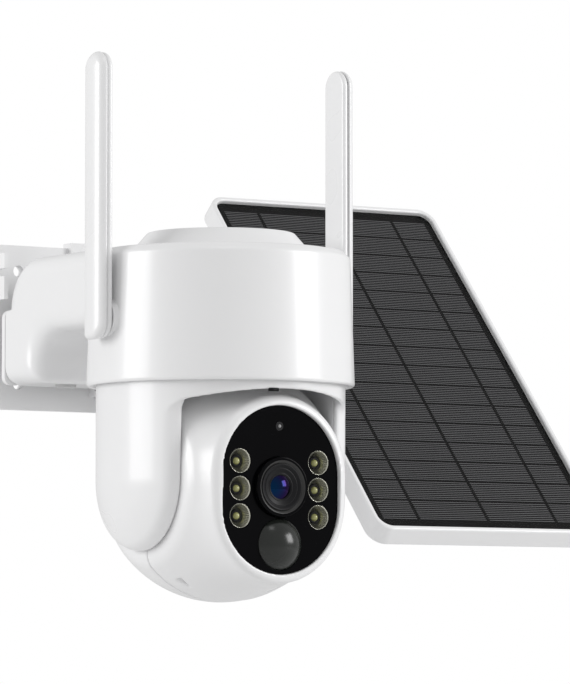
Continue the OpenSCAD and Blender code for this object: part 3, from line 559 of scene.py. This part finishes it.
def add_motion_sensor():
    radius, rise, foot = 9.35, 5.0, 40.6
    curve = (radius ** 2 + rise ** 2) / (2 * rise)
    reach = math.asin(radius / curve)
    dome = [(curve * math.sin(a), foot + rise - curve + curve * math.cos(a))
            for a in np.linspace(0.001, reach, 24)]
    dome += [(radius, 39.5)]
    turned("motion_dome", dome, on_face(0, SENSOR_UP), "ball", sides=96, nodes=["pir_lens"], slot="pir")
    dot = [(0.01, 40.75), (0.5, 40.72), (0.62, 40.5), (0.62, 40.2)]
    turned("light_dot", dot, on_face(0, DOT_UP), "ball", sides=32, slot="black_matte", look="white_dot")


# Antennas: x outwards, y back, z up from the hinge ----------------------------

BLADE_HALF, BLADE_FOOT = 7, -8
TIP = 91.5                                    # middle of the half-round tip


def blade(y, z, inset):
    """Outline of an antenna seen from the side, with a larger corner at the front of its foot."""
    tip = np.sqrt(y * y + np.maximum(z - TIP, 0) ** 2) - BLADE_HALF
    corner = np.where(y < 0, 6.5, 2.0)
    across, down = np.abs(y) - BLADE_HALF + corner, BLADE_FOOT + corner - z
    low = np.minimum(np.maximum(across, down), 0) + np.sqrt(
        np.maximum(across, 0) ** 2 + np.maximum(down, 0) ** 2) - corner
    return np.maximum(tip, low) + inset


def antenna_outer_field(x, y, z):
    curve, thick = 14.7, 6.2
    crown = ball_of(curve, x - thick + curve, y, np.maximum(z - TIP, 0))
    return soft_max(soft_max(blade(y, z, 0), crown, 2.6), 2.65 - x, 0.4)


def antenna_inner_field(x, y, z):
    half = 1.22                               # half its thickness
    return soft_max(blade(y, z, 0.4), np.abs(x - half) - half, 1.4)


def add_antennas():
    for side in ("left", "right"):
        hinge = at(axis_point(f"antenna_{side}_turn"))
        for part, field, low, high in (("outer", antenna_outer_field, 2.6, 6.2),
                                       ("inner", antenna_inner_field, 0, 2.5)):
            moulded(f"antenna_{side}_{part}_shell", field, (low, -BLADE_HALF, BLADE_FOOT),
                    (high, BLADE_HALF, TIP + BLADE_HALF), 0.3, hinge, f"antenna_{side}",
                    mirror=side == "left", nodes=[f"antenna_{side}_{part}"])


# Solar panel: x across, y up the slope, z out of the glass --------------------

LAMINATE = (108 - 4.6, 183 - 4.6)             # the frame's size less its border
MARGIN = (3.4, 4.2)                           # from the laminate's edge to the cells
CELL_BACK, CELL_FRONT, LINE_FRONT = -1.80, -1.76, -1.74


def add_panel():
    rows, fingers = 16, 10
    across, along = (size / 2 - edge for size, edge in zip(LAMINATE, MARGIN))
    pitch = 2 * along / rows
    gap, line, bar = 0.6, 0.22, 1.5
    busbars = [-across * 2 / 3, 0, across * 2 / 3]
    stops = [-across] + [b + s * bar / 2 for b in busbars for s in (-1, 1)] + [across]
    cells, lines = [], []
    for row in range(rows):
        start = -along + row * pitch + gap / 2
        end = start + pitch - gap
        # the darker laminate shows in the gaps between rows and along the busbars
        for left, right in zip(stops[::2], stops[1::2]):
            cells.append(((left, start, CELL_BACK), (right, end, CELL_FRONT)))
            for i in range(fingers):
                y = start + (i + 0.5) * (end - start) / fingers
                lines.append(((left, y - line / 2, CELL_FRONT), (right, y + line / 2, LINE_FRONT)))
    add_strips("cell_rows", cells, "cells")
    add_strips("cell_lines", lines, "cell_line")
    # the laminate itself is a little darker than the cells
    frame["nodes"]["panel_cells"].data.materials[0] = MATERIALS["border"]


def add_strips(name, boxes, look):
    """Many flat boxes on the panel as one piece."""
    points, faces = [], []
    for low, high in boxes:
        more, sides = box_mesh(low, high)
        faces += [tuple(i + len(points) for i in side) for side in sides]
        points += more
    obj = piece(name, points, faces, PANEL, "panel", slot="cells", look=look)
    obj.data.polygons.foreach_set("use_smooth", [False] * len(obj.data.polygons))


# Rounded edges on the CAD pieces that show ------------------------------------

# widths in mm
EDGES = {"wall_plate": 0.8, "base_back": 0.6, "panel_frame": 0.9, "panel_back": 0.5, "panel_arm": 1.2,
         "panel_fork": 0.8, "junction_box": 1.2, "tilt_knob": 0.6, "port_cover": 0.3,
         "front_glass": 0.15}


def round_edges(node, width):
    sharp, touching = math.radians(35), 0.005 * MM
    obj = frame["nodes"][node]
    weld = obj.modifiers.new("weld", "WELD")
    weld.merge_threshold = touching
    bevel = obj.modifiers.new("bevel", "BEVEL")
    bevel.width, bevel.segments = width * MM, 3
    bevel.limit_method, bevel.angle_limit = "ANGLE", sharp
    bevel.use_clamp_overlap = True
    bevel.harden_normals = True


# Light: places and sizes in metres --------------------------------------------

LIGHTS = {                                    # place, size, power
    "key": ((1.3, -1.3, 0.5), 0.8, 16),
    "top": ((-0.3, -0.8, 1.4), 0.4, 1.2),
    "left": ((-1.7, 0.5, 0.4), 0.9, 14),
}
SKY, BACKDROP = 0.61, 1.0                     # the sky's light, and its brightness behind the object
FLOOR_HALF, FLOOR_LEVEL = 1.1, -0.25


def area_light(name, place, size, power):
    """A square light that looks at the drum."""
    data = bpy.data.lights.new(name, "AREA")
    data.shape, data.size, data.energy = "SQUARE", size, power
    lamp = bpy.data.objects.new(name, data)
    bpy.context.scene.collection.objects.link(lamp)
    lamp.location = place
    lamp.rotation_euler = (DRUM - Vector(place)).to_track_quat("-Z", "Y").to_euler()


def add_sky():
    world = bpy.data.worlds.new("studio")
    bpy.context.scene.world = world
    world.use_nodes = True
    nodes, links = world.node_tree.nodes, world.node_tree.links
    sky = nodes["Background"]
    sky.inputs["Color"].default_value = (1, 1, 1, 1)
    ray = nodes.new("ShaderNodeLightPath")
    level = nodes.new("ShaderNodeMapRange")
    level.inputs["To Min"].default_value, level.inputs["To Max"].default_value = SKY, BACKDROP
    links.new(ray.outputs["Is Camera Ray"], level.inputs["Value"])
    links.new(level.outputs["Result"], sky.inputs["Strength"])


def add_floor():
    grid = bmesh.new()
    bmesh.ops.create_grid(grid, x_segments=1, y_segments=1, size=FLOOR_HALF)
    mesh = bpy.data.meshes.new("floor")
    grid.to_mesh(mesh)
    grid.free()
    mesh.materials.append(material("floor", (0.8, 0.8, 0.8), rough=0.8))
    floor = bpy.data.objects.new("floor", mesh)
    floor.location = (0, 0, FLOOR_LEVEL)
    bpy.context.scene.collection.objects.link(floor)


def add_studio():
    bpy.context.scene.view_settings.view_transform = "Standard"
    add_sky()
    for name, settings in LIGHTS.items():
        area_light(name, *settings)
    add_floor()


add_camera()
add_studio()
add_drum()
add_base()
add_yoke()
add_ball()
add_lamps()
add_lens()
add_motion_sensor()
add_antennas()
add_panel()
for node, width in EDGES.items():
    round_edges(node, width)
